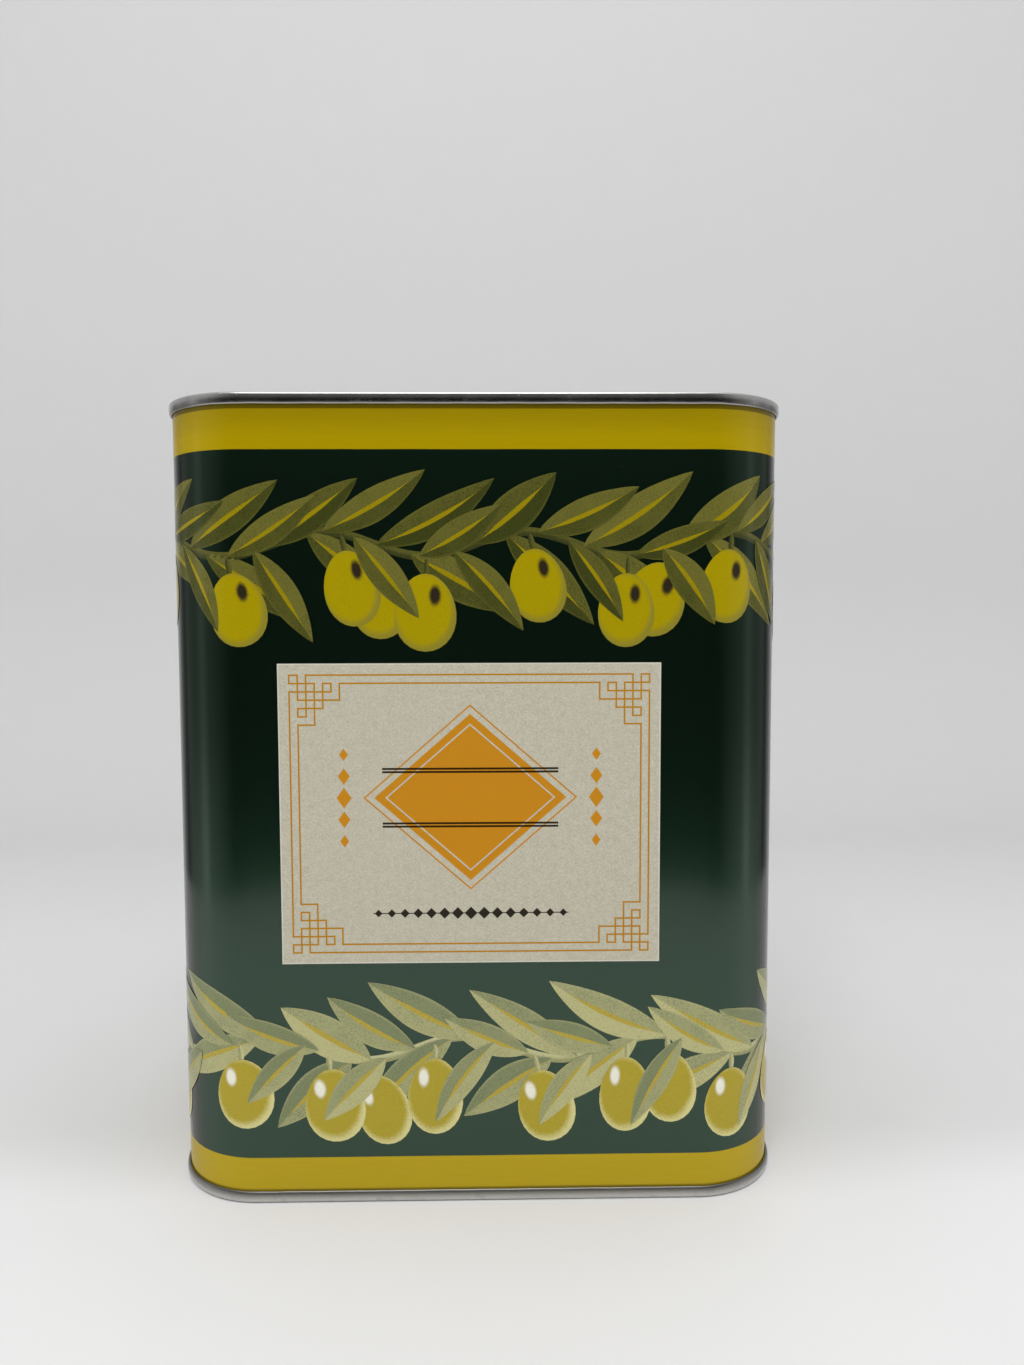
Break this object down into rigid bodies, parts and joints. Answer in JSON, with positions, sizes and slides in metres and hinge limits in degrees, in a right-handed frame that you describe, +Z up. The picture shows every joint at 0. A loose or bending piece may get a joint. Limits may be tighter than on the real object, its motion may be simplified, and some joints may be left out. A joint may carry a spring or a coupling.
{
  "type": "oil tin with pull-up spout",
  "caption": "Rectangular tinplate oil tin with rounded corners, double-seamed ends, a paper label, a folding wire handle and a pull-up pouring spout with a screw cap.",
  "frame": {"origin": "middle of the base, on the surface the tin stands on", "axes": "+Z up, the label faces -Y, the spout is at the +X end of the top"},
  "size_m": [0.188, 0.13, 0.2465],
  "materials": {
    "printed_tinplate": "satin lacquered print, dark green with ochre bands",
    "bare_tinplate": "bright tinplate",
    "seam_compound": "matt",
    "label_paper": "uncoated laid paper with ochre rules",
    "spout_plastic": "natural polyethylene",
    "gasket_rubber": "matt",
    "cap_plastic": "moulded, satin",
    "liner_foam": "foamed polyethylene",
    "handle_steel": "tinned steel",
    "grip_plastic": "moulded, fine texture"
  },
  "bodies": {
    "tin": {"body_shell": "printed_tinplate", "top_end": "bare_tinplate", "bottom_end": "bare_tinplate", "top_seam_compound": "seam_compound", "bottom_seam_compound": "seam_compound", "front_label": "label_paper", "spout_collar": "spout_plastic", "collar_gasket": "gasket_rubber", "crimp_ring": "bare_tinplate", "left_handle_lug": "handle_steel", "right_handle_lug": "handle_steel"},
    "handle": {"handle_wire": "handle_steel", "handle_grip": "grip_plastic"},
    "spout": {"spout_tube": "spout_plastic", "tamper_ring": "cap_plastic"},
    "cap_seal": {"cap_liner": "liner_foam"},
    "cap": {"screw_cap": "cap_plastic"}
  },
  "joints": [
    {"name": "handle_fold", "type": "hinge", "parent": "tin", "child": "handle", "pos_m": [0, 0, 0.24045], "axis": [1, 0, 0], "range_deg": [0, 180]},
    {"name": "spout_pull", "type": "slide", "parent": "tin", "child": "spout", "axis": [0, 0, 1], "range_m": [0, 0.024]},
    {"name": "cap_lift", "type": "slide", "parent": "spout", "child": "cap_seal", "axis": [0, 0, 1], "range_m": [0, 0.012]},
    {"name": "cap_turn", "type": "hinge", "parent": "cap_seal", "child": "cap", "pos_m": [0.06857, 0, 0.24], "axis": [0, 0, 1], "range_deg": [0, 1440]}
  ],
  "couplings": [
    {"joint": "cap_lift", "follows": "cap_turn", "m_per_rad": 0.00047746}
  ]
}
